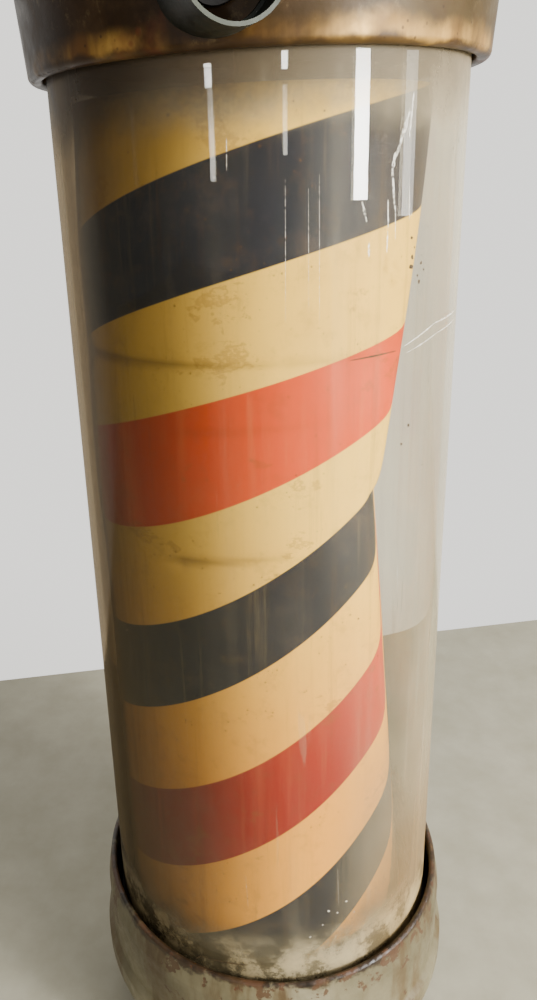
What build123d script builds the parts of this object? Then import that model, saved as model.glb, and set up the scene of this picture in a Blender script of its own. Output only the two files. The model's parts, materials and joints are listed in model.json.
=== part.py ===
from build123d import *
import os
from math import acos, cos, pi, radians, sin, tan

# A barber pole light: a striped drum turns on a fixed hollow column inside a clear tube.
# The column ties the cap to the base; a geared motor under the drum drives it.
# Millimetres, +Z up. The origin is on the column's axis, level with the underside of the
# foot. The arm socket on the cap stands out to the front, which is -Y.

# ---- driving dimensions ----
TUBE_R = 100.0  # clear tube, outside
TUBE_WALL = 3.5
VISIBLE_TUBE = 467.0  # from the base's rim to the cap's rim
METAL = 1.2  # spun sheet metal of the cap and the base
BASE_RIM_Z = 115.0
CAP_RIM_Z = BASE_RIM_Z + VISIBLE_TUBE

FOOT_H = 8.0
FOOT_R_IN = 68.0
FOOT_R_OUT = 86.0

PLATE_R = 101.2  # frame plates, just under the lip's opening
PLATE_T = 2.5
BASE_PLATE_Z = 80.0  # underside of the base plate
BASE_PLATE_TOP = BASE_PLATE_Z + PLATE_T
SEAT_T = 3.0  # rubber under and over the tube's ends
SEAT_LIP = 5.0
TUBE_BOTTOM_Z = BASE_PLATE_TOP + SEAT_T
TUBE_TOP_Z = CAP_RIM_Z + 12.5
TOP_PLATE_Z = TUBE_TOP_Z + SEAT_T

COLUMN_R = 10.0
COLUMN_R_IN = 8.0
COLUMN_BOTTOM_Z = 66.0
DOME_TOP = 121.0  # landing of the cap's nut above the cap's rim
NUT_AF = 28.0  # column nuts, across flats
NUT_H = 8.0

RUNNING_GAP = 0.08  # radial clearance of the bushes on the column
CLEAR = 0.3  # end clearance between turning and fixed pieces

SHEET_R = 86.0  # striped film, outside
SHEET_T = 0.6
SHEET_BOTTOM_Z = 96.0
SHEET_TOP_Z = CAP_RIM_Z - 10.0
DISC_T = 4.0
DISC_R = SHEET_R - SHEET_T
LOW_DISC_Z = SHEET_BOTTOM_Z + 0.5
TOP_DISC_Z = SHEET_TOP_Z - 4.5
BUSH_R = 14.0
BUSH_FLANGE_R = 18.0
BUSH_FLANGE_T = 2.0
COLLAR_R = 16.0
COLLAR_H = 7.0
COLLAR_TOP = BASE_PLATE_TOP + COLLAR_H

GEAR_MODULE = 1.5
GEAR_TEETH = 60
PINION_TEETH = 18
PRESSURE_ANGLE = radians(20)
TOOTH_THINNING = 0.25
GEAR_T = 6.0
GEAR_Z = LOW_DISC_Z - GEAR_T
CENTRE_DISTANCE = GEAR_MODULE * (GEAR_TEETH + PINION_TEETH) / 2 + 0.2
MOTOR_AT = (0, CENTRE_DISTANCE)
MOTOR_R = 25.0
GEARBOX_H = 14.0
MOTOR_H = 16.0
SHAFT_R = 3.5

PILLAR_AT_R = 62.0
PILLAR_ANGLES = (35, 145, 215, 325)
PILLAR_AF = 10.0
SCREW_R = 2.5
SCREW_HEAD_R = 4.75
SCREW_HEAD_H = 3.0
SCREW_LENGTH = 15.0

LAMP_X = 48.0
LAMP_R = 12.75
LAMP_LENGTH = 437.4
LAMP_Z = 116.0
LAMP_TOP_Z = LAMP_Z + LAMP_LENGTH
HOLDER_H = 10.0
BRACKET_T = 2.0
LAMP_SIDES = (-LAMP_X, LAMP_X)
STARTERS_AT = [(-58, 22), (-58, -22)]
BLOCK_AT = (56, -18)
BALLAST_AT = (0, -62)

ARM_R = 19.3  # arm socket, outside
ARM_WALL = 1.5
ARM_SEAT_DEPTH = 15.0  # from the mouth to the step that the arm's pipe stops on
ARM_STEP = 1.3
ARM_MOUTH = (-5.4, -130.2, CAP_RIM_Z + 22.5)
ARM_SKEW = radians(19.7)  # turned from the front towards +X
ARM_DIRECTION = (sin(ARM_SKEW), -cos(ARM_SKEW), 0)

WIRE_R = 1.3
WIRE_BEND = 5.0
SLOT_W = 0.8  # screwdriver slots

UP = (Align.CENTER, Align.CENTER, Align.MIN)
DOWN = (Align.CENTER, Align.CENTER, Align.MAX)

os.makedirs("parts", exist_ok=True)


def save(piece, label):
    """Label one finished piece and write it to its own file."""
    piece.part.label = label
    export_step(piece.part, f"parts/{label}.step")


def screws(head_r, head_h, shank_r, length):
    """A slotted pan head screw at each active location, its head above, its shank below."""
    Cylinder(head_r, head_h, align=UP)
    Cylinder(shank_r, length, align=DOWN)
    with Locations((0, 0, head_h)):
        Box(3 * head_r, SLOT_W, head_h / 2, align=DOWN, mode=Mode.SUBTRACT)


def tooth_outline(teeth):
    """The closed outline of a gear with involute flanks, one tooth centred on +X."""
    pitch_r = GEAR_MODULE * teeth / 2
    base_r = pitch_r * cos(PRESSURE_ANGLE)
    root_r = pitch_r - 1.25 * GEAR_MODULE
    tip_r = pitch_r + GEAR_MODULE
    flank_r = max(base_r, root_r)
    half_pitch = pi / (2 * teeth) - TOOTH_THINNING / (2 * pitch_r)
    steps = 4
    flank = []
    for step in range(steps + 1):
        r = flank_r + (tip_r - flank_r) * step / steps
        roll = acos(min(1, base_r / r))
        half = half_pitch + tan(PRESSURE_ANGLE) - PRESSURE_ANGLE - (tan(roll) - roll)
        flank.append((r, half))
    if root_r < base_r:
        flank.insert(0, (root_r, flank[0][1]))
    points = []
    for tooth in range(teeth):
        middle = 2 * pi * tooth / teeth
        rising = [(r, middle - half) for r, half in flank]
        falling = [(r, middle + half) for r, half in reversed(flank)]
        points += [(r * cos(a), r * sin(a)) for r, a in rising + falling]
    return points


def spun_wall(points, radii, side):
    """The section of a spun metal wall: its outer face follows the points, its metal is on one side."""
    FilletPolyline(*points, radius=radii)
    offset(amount=METAL, side=side)


def upside_down(x, y, z):
    """A place at (x, y, z) turned over, so that a screw's head points down."""
    return Location((x, y, z), (180, 0, 0))


def around(radius, angles, z):
    """Places at a radius from the column's axis, one for each angle in degrees."""
    return [(radius * cos(radians(a)), radius * sin(radians(a)), z) for a in angles]


def ring(r_out, r_in, height):
    """A flat ring that stands on the active location."""
    Cylinder(r_out, height, align=UP)
    Cylinder(r_in, height, align=UP, mode=Mode.SUBTRACT)


def wire(*points):
    """One insulated wire through the points, with its bends rounded."""
    with BuildLine() as route:
        FilletPolyline(*points, radius=WIRE_BEND)
    with BuildSketch(Plane(origin=route.line @ 0, z_dir=route.line % 0)) as section:
        Circle(WIRE_R)
    sweep(sections=section.sketch, path=route.line)


# ---- base ----
BASE_WALL = [
    (0, FOOT_H),
    (95.0, FOOT_H),
    (112.5, 52.0),
    (112.5, 64.0),
    (109.3, 68.0),
    (109.3, 101.0),
    (106.9, BASE_RIM_Z),
    (103.6, BASE_RIM_Z),
    (103.6, 108.0),
]
BASE_RADII = [14, 12, 2, 2, 9, 1.8, 1.6]

with BuildPart() as base_bowl:
    with BuildSketch(Plane.XZ):
        with BuildLine():
            spun_wall(BASE_WALL, BASE_RADII, Side.RIGHT)
        make_face()
    revolve(axis=Axis.Z)
    with Locations(around(PILLAR_AT_R, PILLAR_ANGLES, FOOT_H)):
        Cylinder(SCREW_R, 3 * METAL, mode=Mode.SUBTRACT)
save(base_bowl, "base_bowl")

with BuildPart() as foot_ring:
    with BuildSketch(Plane.XZ):
        with BuildLine():
            Polyline(
                (FOOT_R_IN, 0),
                (FOOT_R_OUT - 2, 0),
                (FOOT_R_OUT, 2),
                (FOOT_R_OUT, FOOT_H),
                (FOOT_R_IN, FOOT_H),
                close=True,
            )
        make_face()
    revolve(axis=Axis.Z)
save(foot_ring, "foot_ring")

FLOOR_TOP = FOOT_H + METAL

with BuildPart() as frame_pillars:
    with BuildSketch(Plane.XY.offset(FLOOR_TOP)):
        with Locations(around(PILLAR_AT_R, PILLAR_ANGLES, 0)):
            RegularPolygon(PILLAR_AF / 2, 6, major_radius=False)
            Circle(SCREW_R, mode=Mode.SUBTRACT)
    extrude(amount=BASE_PLATE_Z - FLOOR_TOP)
save(frame_pillars, "frame_pillars")

with BuildPart() as base_screws:
    with Locations([upside_down(*place) for place in around(PILLAR_AT_R, PILLAR_ANGLES, FOOT_H)]):
        screws(SCREW_HEAD_R, SCREW_HEAD_H, SCREW_R, SCREW_LENGTH)
save(base_screws, "base_screws")

with BuildPart() as plate_screws:
    with Locations(around(PILLAR_AT_R, PILLAR_ANGLES, BASE_PLATE_TOP)):
        screws(SCREW_HEAD_R, SCREW_HEAD_H, SCREW_R, SCREW_LENGTH)
save(plate_screws, "plate_screws")

# ---- frame: plates, tube and column ----
BALLAST_HOLES = [(BALLAST_AT[0] + side * 47, BALLAST_AT[1]) for side in (-1, 1)]
EAR_REACH = 29.0
MOTOR_HOLES = [(MOTOR_AT[0] + side * EAR_REACH, MOTOR_AT[1]) for side in (-1, 1)]
SMALL_SCREW_R = 2.0
SMALL_HEAD_R = 3.8
SMALL_HEAD_H = 2.6
SMALL_SCREW_LENGTH = 8.0
EAR_T = 1.5  # fixing ears of the gearbox and the ballast

with BuildPart() as base_plate:
    with BuildSketch(Plane.XY.offset(BASE_PLATE_Z)):
        Circle(PLATE_R)
        Circle(COLUMN_R, mode=Mode.SUBTRACT)
        with Locations(around(PILLAR_AT_R, PILLAR_ANGLES, 0)):
            Circle(SCREW_R, mode=Mode.SUBTRACT)
        with Locations(BALLAST_HOLES + MOTOR_HOLES):
            Circle(SMALL_SCREW_R, mode=Mode.SUBTRACT)
        with Locations(MOTOR_AT):
            Circle(SHAFT_R + 2.5, mode=Mode.SUBTRACT)
    extrude(amount=PLATE_T)
save(base_plate, "base_plate")

with BuildPart() as top_plate:
    with BuildSketch(Plane.XY.offset(TOP_PLATE_Z)):
        Circle(PLATE_R)
        Circle(COLUMN_R, mode=Mode.SUBTRACT)
    extrude(amount=PLATE_T)
save(top_plate, "top_plate")

TOP_PLATE_TOP = TOP_PLATE_Z + PLATE_T

with BuildPart() as clear_tube:
    with BuildSketch(Plane.XY.offset(TUBE_BOTTOM_Z)):
        Circle(TUBE_R)
        Circle(TUBE_R - TUBE_WALL, mode=Mode.SUBTRACT)
    extrude(amount=TUBE_TOP_Z - TUBE_BOTTOM_Z)
save(clear_tube, "clear_tube")


def seat_section(end_z, back_z, lip_z):
    """A rubber channel on one end of the tube: its web, then its inner and outer lips."""
    inner = TUBE_R - TUBE_WALL
    Polyline(
        (inner - 2, back_z),
        (PLATE_R, back_z),
        (PLATE_R, lip_z),
        (TUBE_R, lip_z),
        (TUBE_R, end_z),
        (inner, end_z),
        (inner, lip_z),
        (inner - 2, lip_z),
        close=True,
    )


with BuildPart() as tube_seat_bottom:
    with BuildSketch(Plane.XZ):
        with BuildLine():
            seat_section(TUBE_BOTTOM_Z, BASE_PLATE_TOP, TUBE_BOTTOM_Z + SEAT_LIP)
        make_face()
    revolve(axis=Axis.Z)
save(tube_seat_bottom, "tube_seat_bottom")

with BuildPart() as tube_seat_top:
    with BuildSketch(Plane.XZ):
        with BuildLine():
            seat_section(TUBE_TOP_Z, TOP_PLATE_Z, TUBE_TOP_Z - SEAT_LIP)
        make_face()
    revolve(axis=Axis.Z)
save(tube_seat_top, "tube_seat_top")

COLUMN_TOP_Z = CAP_RIM_Z + DOME_TOP + 12
CAP_WIRE_HOLE_Z = CAP_RIM_Z + 42
LOW_WIRE_HOLE_Z = 121.0
HIGH_WIRE_HOLE_Z = LAMP_TOP_Z - 6

with BuildPart() as centre_column:
    with BuildSketch(Plane.XY.offset(COLUMN_BOTTOM_Z)):
        Circle(COLUMN_R)
        Circle(COLUMN_R_IN, mode=Mode.SUBTRACT)
    extrude(amount=COLUMN_TOP_Z - COLUMN_BOTTOM_Z)
    for hole_z in (LOW_WIRE_HOLE_Z, HIGH_WIRE_HOLE_Z):
        with Locations(Location((0, 0, hole_z), (0, 90, 0))):
            Cylinder(3.5, 3 * COLUMN_R, mode=Mode.SUBTRACT)
    with Locations(Location((-COLUMN_R, 0, CAP_WIRE_HOLE_Z), (0, 90, 0))):
        Cylinder(4.5, COLUMN_R, mode=Mode.SUBTRACT)
    with Locations(Location((COLUMN_R, 0, CAP_WIRE_HOLE_Z), (0, 90, 0))):
        Cylinder(4.5, COLUMN_R, mode=Mode.SUBTRACT)
    chamfer(centre_column.edges().filter_by(GeomType.CIRCLE).sort_by(Axis.Z)[-1], 0.8)
save(centre_column, "centre_column")

with BuildPart() as column_nuts:
    for nut_z in (BASE_PLATE_Z - NUT_H, TOP_PLATE_TOP):
        with BuildSketch(Plane.XY.offset(nut_z)):
            RegularPolygon(NUT_AF / 2, 6, major_radius=False)
            Circle(COLUMN_R, mode=Mode.SUBTRACT)
        extrude(amount=NUT_H)
save(column_nuts, "column_nuts")

with BuildPart() as thrust_collar:
    with Locations((0, 0, BASE_PLATE_TOP)):
        ring(COLLAR_R, COLUMN_R, COLLAR_H)
    chamfer(thrust_collar.faces().sort_by(Axis.Z)[-1].edges(), 0.5)
    with Locations(Location((0, -(COLUMN_R + COLLAR_R) / 2, BASE_PLATE_TOP + COLLAR_H / 2), (90, 0, 0))):
        Cylinder(SMALL_SCREW_R, COLLAR_R - COLUMN_R + 2, mode=Mode.SUBTRACT)
save(thrust_collar, "thrust_collar")

with BuildPart() as collar_set_screw:
    with Locations(Location((0, -COLUMN_R, BASE_PLATE_TOP + COLLAR_H / 2), (90, 0, 0))):
        Cylinder(SMALL_SCREW_R, COLLAR_R - COLUMN_R - 0.5, align=UP)
        with Locations((0, 0, COLLAR_R - COLUMN_R - 0.5)):
            Box(3 * SMALL_SCREW_R, SLOT_W, 1.5, align=DOWN, mode=Mode.SUBTRACT)
save(collar_set_screw, "collar_set_screw")

# ---- drum ----
BOTTOM_BUSH_Z = COLLAR_TOP + CLEAR
LIGHTENING_HOLES = 6
GEAR_SCREWS_AT_R = 30.0
GEAR_SCREW_R = 1.5

with BuildPart() as drum_bottom_disc:
    with BuildSketch(Plane.XY.offset(LOW_DISC_Z)):
        Circle(DISC_R)
        Circle(BUSH_R, mode=Mode.SUBTRACT)
        with PolarLocations(62, LIGHTENING_HOLES, start_angle=30):
            Circle(15, mode=Mode.SUBTRACT)
        with PolarLocations(GEAR_SCREWS_AT_R, 3, start_angle=90):
            Circle(GEAR_SCREW_R, mode=Mode.SUBTRACT)
    extrude(amount=DISC_T)
save(drum_bottom_disc, "drum_bottom_disc")

with BuildPart() as drum_top_disc:
    with BuildSketch(Plane.XY.offset(TOP_DISC_Z)):
        Circle(DISC_R)
        Circle(BUSH_R, mode=Mode.SUBTRACT)
        with PolarLocations(54, LIGHTENING_HOLES, start_angle=30):
            Circle(19, mode=Mode.SUBTRACT)
    extrude(amount=DISC_T)
save(drum_top_disc, "drum_top_disc")


def bush(bottom_z, flange_z, top_z):
    """A flanged bush on the column, with running clearance in its bore."""
    with Locations((0, 0, bottom_z)):
        Cylinder(BUSH_R, top_z - bottom_z, align=UP)
    with Locations((0, 0, flange_z)):
        Cylinder(BUSH_FLANGE_R, BUSH_FLANGE_T, align=UP)
    with Locations((0, 0, bottom_z)):
        Cylinder(COLUMN_R + RUNNING_GAP, top_z - bottom_z, align=UP, mode=Mode.SUBTRACT)


with BuildPart() as drum_bush_bottom:
    flange_z = LOW_DISC_Z + DISC_T
    bush(BOTTOM_BUSH_Z, flange_z, flange_z + BUSH_FLANGE_T)
save(drum_bush_bottom, "drum_bush_bottom")

with BuildPart() as drum_bush_top:
    flange_z = TOP_DISC_Z + DISC_T
    bush(TOP_DISC_Z, flange_z, flange_z + BUSH_FLANGE_T)
save(drum_bush_top, "drum_bush_top")

with BuildPart() as stripe_sheet:
    with BuildSketch(Plane.XY.offset(SHEET_BOTTOM_Z)):
        Circle(SHEET_R)
        Circle(SHEET_R - SHEET_T, mode=Mode.SUBTRACT)
    extrude(amount=SHEET_TOP_Z - SHEET_BOTTOM_Z)
save(stripe_sheet, "stripe_sheet")

with BuildPart() as drum_gear:
    with BuildSketch(Plane.XY.offset(GEAR_Z)):
        with BuildLine():
            Polyline(*tooth_outline(GEAR_TEETH), close=True)
        make_face()
        Circle(BUSH_R, mode=Mode.SUBTRACT)
        with PolarLocations(GEAR_SCREWS_AT_R, 3, start_angle=90):
            Circle(GEAR_SCREW_R, mode=Mode.SUBTRACT)
        with PolarLocations(29, 3, start_angle=30):
            Circle(8, mode=Mode.SUBTRACT)
    extrude(amount=GEAR_T)
save(drum_gear, "drum_gear")

with BuildPart() as gear_screws:
    with Locations([upside_down(*place) for place in around(GEAR_SCREWS_AT_R, (90, 210, 330), GEAR_Z)]):
        screws(2.8, 2, GEAR_SCREW_R, GEAR_T + DISC_T - 0.5)
save(gear_screws, "gear_screws")

# ---- drive ----
with BuildPart() as motor_gearbox:
    with Locations((*MOTOR_AT, BASE_PLATE_Z)):
        Cylinder(MOTOR_R - 0.4, GEARBOX_H, align=DOWN)
    with BuildSketch(Plane.XY.offset(BASE_PLATE_Z)):
        with Locations(MOTOR_AT):
            SlotCenterToCenter(2 * EAR_REACH, 9)
    extrude(amount=-EAR_T)
    with Locations([(*place, BASE_PLATE_Z) for place in MOTOR_HOLES]):
        Cylinder(SMALL_SCREW_R, 3, align=DOWN, mode=Mode.SUBTRACT)
    with Locations((*MOTOR_AT, BASE_PLATE_Z)):
        Cylinder(SHAFT_R + RUNNING_GAP, GEARBOX_H - 3, align=DOWN, mode=Mode.SUBTRACT)
save(motor_gearbox, "motor_gearbox")

with BuildPart() as motor_body:
    with Locations((*MOTOR_AT, BASE_PLATE_Z - GEARBOX_H)):
        Cylinder(MOTOR_R, MOTOR_H, align=DOWN)
    fillet(motor_body.edges().sort_by(Axis.Z)[0], 2)
save(motor_body, "motor_body")

with BuildPart() as motor_screws:
    with Locations([(*place, BASE_PLATE_TOP) for place in MOTOR_HOLES]):
        screws(SMALL_HEAD_R, SMALL_HEAD_H, SMALL_SCREW_R, SMALL_SCREW_LENGTH)
save(motor_screws, "motor_screws")

with BuildPart() as motor_nuts:
    with BuildSketch(Plane.XY.offset(BASE_PLATE_Z - EAR_T)):
        with Locations(MOTOR_HOLES):
            RegularPolygon(3.5, 6, major_radius=False)
            Circle(SMALL_SCREW_R, mode=Mode.SUBTRACT)
    extrude(amount=-3)
save(motor_nuts, "motor_nuts")

SHAFT_BOTTOM_Z = BASE_PLATE_Z - GEARBOX_H + 3 + CLEAR

with BuildPart() as motor_shaft:
    with Locations((*MOTOR_AT, SHAFT_BOTTOM_Z)):
        Cylinder(SHAFT_R, GEAR_Z + GEAR_T - 0.8 - SHAFT_BOTTOM_Z, align=UP)
save(motor_shaft, "motor_shaft")

with BuildPart() as motor_pinion:
    with BuildSketch(Plane(origin=(*MOTOR_AT, GEAR_Z))):
        with BuildLine():
            Polyline(*tooth_outline(PINION_TEETH), close=True)
        make_face()
        Circle(SHAFT_R, mode=Mode.SUBTRACT)
    extrude(amount=GEAR_T - 0.8)
    with Locations((*MOTOR_AT, GEAR_Z)):
        with Locations(Location((0, 0, 0), (180, 0, 0))):
            ring(8, SHAFT_R, 5)
save(motor_pinion, "motor_pinion")

# ---- lamps ----
HOLDER_W = 26.0


def lamp_bracket(hub_z, hub_h, bar_z):
    """A flat bar across the column with a clamping hub at its middle."""
    with Locations((0, 0, bar_z)):
        Box(2 * LAMP_X + 30, 18, BRACKET_T, align=UP)
    with Locations((0, 0, hub_z)):
        Cylinder(15, hub_h, align=UP)
    with Locations((0, 0, hub_z)):
        Cylinder(COLUMN_R, hub_h, align=UP, mode=Mode.SUBTRACT)


LOW_BRACKET_Z = LAMP_Z - HOLDER_H - BRACKET_T
HIGH_BRACKET_Z = LAMP_TOP_Z + HOLDER_H

with BuildPart() as lamp_bracket_bottom:
    lamp_bracket(LOW_BRACKET_Z, 9, LOW_BRACKET_Z)
    fillet(lamp_bracket_bottom.edges().filter_by(Axis.Z).group_by(Axis.X)[0], 4)
    fillet(lamp_bracket_bottom.edges().filter_by(Axis.Z).group_by(Axis.X)[-1], 4)
save(lamp_bracket_bottom, "lamp_bracket_bottom")

with BuildPart() as lamp_bracket_top:
    lamp_bracket(HIGH_BRACKET_Z - 7, 9, HIGH_BRACKET_Z)
    fillet(lamp_bracket_top.edges().filter_by(Axis.Z).group_by(Axis.X)[0], 4)
    fillet(lamp_bracket_top.edges().filter_by(Axis.Z).group_by(Axis.X)[-1], 4)
save(lamp_bracket_top, "lamp_bracket_top")

PIN_R = 1.2
PIN_L = 7.0
PIN_GAP = 6.35


def pins(x, z, side):
    """The two contact pins of one lamp end; side is 1 at the top and -1 at the bottom."""
    with Locations([(x, y, z) for y in (-PIN_GAP, PIN_GAP)]):
        Cylinder(PIN_R, PIN_L, align=UP if side > 0 else DOWN)


with BuildPart() as lampholders:
    for bottom_z, pin_face_z, side in ((LAMP_Z - HOLDER_H, LAMP_Z, -1), (LAMP_TOP_Z, LAMP_TOP_Z, 1)):
        with Locations([(x, 0, bottom_z) for x in LAMP_SIDES]):
            Cylinder(HOLDER_W / 2, HOLDER_H, align=UP)
        for x in LAMP_SIDES:
            with Locations([(x, y, pin_face_z) for y in (-PIN_GAP, PIN_GAP)]):
                Cylinder(PIN_R, PIN_L, align=UP if side > 0 else DOWN, mode=Mode.SUBTRACT)
save(lampholders, "lampholders")

CAP_L = 8.0

with BuildPart() as lamp_end_caps:
    for x in LAMP_SIDES:
        for end_z, side in ((LAMP_Z, -1), (LAMP_TOP_Z, 1)):
            with Locations((x, 0, end_z)):
                Cylinder(LAMP_R + 0.25, CAP_L, align=UP if side < 0 else DOWN)
            inner_z = end_z - side * 0.8
            with Locations((x, 0, inner_z)):
                Cylinder(LAMP_R, CAP_L, align=UP if side < 0 else DOWN, mode=Mode.SUBTRACT)
            pins(x, end_z, side)
save(lamp_end_caps, "lamp_end_caps")

with BuildPart() as lamp_tubes:
    with BuildSketch(Plane.XY.offset(LAMP_Z + 0.8)):
        with Locations([(x, 0) for x in LAMP_SIDES]):
            Circle(LAMP_R)
            Circle(LAMP_R - 0.8, mode=Mode.SUBTRACT)
    extrude(amount=LAMP_LENGTH - 1.6)
save(lamp_tubes, "lamp_tubes")

# ---- electrical parts ----
BALLAST_L = 84.0
BALLAST_W = 40.0
BALLAST_H = 28.0
SOCKET_H = 9.0
STARTER_R = 10.7
STARTER_H = 35.0
TERMINAL_STEPS = (-13, 0, 13)

with BuildPart() as ballast:
    with Locations((*BALLAST_AT, BASE_PLATE_Z)):
        Box(BALLAST_L + 20, 30, EAR_T, align=DOWN)
        Box(BALLAST_L, BALLAST_W, BALLAST_H, align=DOWN)
    with Locations([(*place, BASE_PLATE_Z) for place in BALLAST_HOLES]):
        Cylinder(SMALL_SCREW_R, 3, align=DOWN, mode=Mode.SUBTRACT)
    chamfer(ballast.faces().sort_by(Axis.Z)[0].edges(), 1.5)
save(ballast, "ballast")

with BuildPart() as ballast_screws:
    with Locations([(*place, BASE_PLATE_TOP) for place in BALLAST_HOLES]):
        screws(SMALL_HEAD_R, SMALL_HEAD_H, SMALL_SCREW_R, SMALL_SCREW_LENGTH)
save(ballast_screws, "ballast_screws")

with BuildPart() as starter_sockets:
    with Locations([(*place, TOP_PLATE_TOP) for place in STARTERS_AT]):
        Box(36, 26, SOCKET_H, align=UP)
    fillet(starter_sockets.edges().filter_by(Axis.Z), 4)
save(starter_sockets, "starter_sockets")

with BuildPart() as starters:
    with Locations([(*place, TOP_PLATE_TOP + SOCKET_H) for place in STARTERS_AT]):
        Cylinder(STARTER_R, STARTER_H, align=UP)
    fillet(starters.faces().sort_by(Axis.Z)[-2:].edges(), 2.5)
save(starters, "starters")

with BuildPart() as terminal_block:
    with Locations((*BLOCK_AT, TOP_PLATE_TOP)):
        Box(22, 42, 8, align=UP)
        Box(14, 42, 16, align=UP)
    with Locations([(BLOCK_AT[0], BLOCK_AT[1] + step, TOP_PLATE_TOP + 16) for step in TERMINAL_STEPS]):
        Cylinder(3, 7, align=DOWN, mode=Mode.SUBTRACT)
save(terminal_block, "terminal_block")

with BuildPart() as terminal_screws:
    with Locations([(BLOCK_AT[0], BLOCK_AT[1] + step, TOP_PLATE_TOP + 9) for step in TERMINAL_STEPS]):
        Cylinder(3, 3, align=UP)
        with Locations((0, 0, 3)):
            Box(8, SLOT_W, 1.2, align=DOWN, mode=Mode.SUBTRACT)
save(terminal_screws, "terminal_screws")

# ---- cap ----
CAP_WALL = [
    (101.7, CAP_RIM_Z + 7),
    (101.7, CAP_RIM_Z),
    (108.2, CAP_RIM_Z),
    (111.4, CAP_RIM_Z + 40),
    (111.5, CAP_RIM_Z + 50),
    (114.5, CAP_RIM_Z + 54),
    (114.5, CAP_RIM_Z + 66),
    (101, CAP_RIM_Z + 95),
    (62, CAP_RIM_Z + 114),
    (24, CAP_RIM_Z + DOME_TOP),
    (COLUMN_R + 0.6, CAP_RIM_Z + DOME_TOP),
]
CAP_RADII = [2, 3, 60, 2, 2, 20, 30, 60, 10]
GROMMET_ANGLE = radians(-96.7)
GROMMET_OUT = (cos(GROMMET_ANGLE), sin(GROMMET_ANGLE), 0)
CAP_R_AT_ARM = 110.0
GROMMET_R = 7.0
FLANGE_OUT = 2.5  # the grommet's flanges past its neck
FLANGE_T = 1.8
FLANGE_AT = (105.8, 111.0)  # inside and outside the cap's wall

with BuildPart() as top_cap:
    with BuildSketch(Plane.XZ):
        with BuildLine():
            spun_wall(CAP_WALL, CAP_RADII, Side.LEFT)
        make_face()
    revolve(axis=Axis.Z)
    with BuildSketch(Plane(origin=(0, 0, ARM_MOUTH[2]), z_dir=GROMMET_OUT)):
        Circle(GROMMET_R)
    extrude(amount=CAP_R_AT_ARM + 10, mode=Mode.SUBTRACT)
save(top_cap, "top_cap")

with BuildPart() as arm_socket:
    with BuildSketch(Plane(origin=ARM_MOUTH, z_dir=ARM_DIRECTION)):
        Circle(ARM_R)
        Circle(ARM_R - ARM_WALL - ARM_STEP, mode=Mode.SUBTRACT)
    extrude(amount=-60)
    with BuildSketch(Plane(origin=ARM_MOUTH, z_dir=ARM_DIRECTION)):
        Circle(ARM_R - ARM_WALL)
    extrude(amount=-ARM_SEAT_DEPTH, mode=Mode.SUBTRACT)
    with BuildSketch(Plane.XZ):
        with BuildLine():
            FilletPolyline((0, CAP_RIM_Z), *CAP_WALL[2:], radius=CAP_RADII[1:])
            Polyline(CAP_WALL[-1], (0, CAP_WALL[-1][1]), (0, CAP_RIM_Z))
        make_face()
    revolve(axis=Axis.Z, mode=Mode.SUBTRACT)
save(arm_socket, "arm_socket")


def off_axis(distance):
    """The place at a distance from the column's axis, facing out through the cable hole."""
    origin = (distance * GROMMET_OUT[0], distance * GROMMET_OUT[1], ARM_MOUTH[2])
    return Plane(origin=origin, z_dir=GROMMET_OUT).location


with BuildPart() as cable_grommet:
    with Locations(off_axis(FLANGE_AT[0])):
        Cylinder(GROMMET_R, 7, align=UP)
    for distance in FLANGE_AT:
        with Locations(off_axis(distance)):
            Cylinder(GROMMET_R + FLANGE_OUT, FLANGE_T, align=UP)
    with Locations(off_axis(FLANGE_AT[0])):
        Cylinder(4.5, 7, align=UP, mode=Mode.SUBTRACT)
save(cable_grommet, "cable_grommet")

LANDING_Z = CAP_RIM_Z + DOME_TOP

with BuildPart() as cap_washer:
    with Locations((0, 0, LANDING_Z)):
        ring(20, COLUMN_R + 0.6, 2)
save(cap_washer, "cap_washer")

with BuildPart() as cap_nut:
    with BuildSketch(Plane.XY.offset(LANDING_Z + 2)):
        RegularPolygon(NUT_AF / 2, 6, major_radius=False)
    extrude(amount=9)
    with Locations((0, 0, LANDING_Z + 11)):
        Sphere(12.5, arc_size1=0, align=UP)
    with Locations((0, 0, LANDING_Z + 2)):
        Cylinder(COLUMN_R, 10, align=UP, mode=Mode.SUBTRACT)
save(cap_nut, "cap_nut")

# ---- wiring ----
with BuildPart() as wiring_cap:
    wire((44.5, -18, TOP_PLATE_TOP + 4), (30, -18, TOP_PLATE_TOP + 4), (24, -4, TOP_PLATE_TOP + 14),
         (20, 0, CAP_WIRE_HOLE_Z), (8.5, 0, CAP_WIRE_HOLE_Z))
    wire((-39.9, 22, TOP_PLATE_TOP + 4), (-30, 22, TOP_PLATE_TOP + 4), (-24, 6, TOP_PLATE_TOP + 14),
         (-20, 1.5, CAP_WIRE_HOLE_Z), (-8.5, 1.5, CAP_WIRE_HOLE_Z))
    wire((-39.9, -22, TOP_PLATE_TOP + 4), (-30, -22, TOP_PLATE_TOP + 4), (-24, -8, TOP_PLATE_TOP + 14),
         (-20, -1.5, CAP_WIRE_HOLE_Z), (-8.5, -1.5, CAP_WIRE_HOLE_Z))
save(wiring_cap, "wiring_cap")

with BuildPart() as wiring_base:
    wire((-3, 3, COLUMN_BOTTOM_Z + 4), (-3, 3, COLUMN_BOTTOM_Z - 12), (-3, 18, COLUMN_BOTTOM_Z - 22),
         (0, 40, COLUMN_BOTTOM_Z - 25), (0, 46, BASE_PLATE_Z - GEARBOX_H - MOTOR_H - 1))
    wire((-3, -3, COLUMN_BOTTOM_Z + 4), (-3, -3, COLUMN_BOTTOM_Z - 14), (-3, -28, COLUMN_BOTTOM_Z - 6),
         (-3, -41.2, COLUMN_BOTTOM_Z - 2))
save(wiring_base, "wiring_base")
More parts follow.
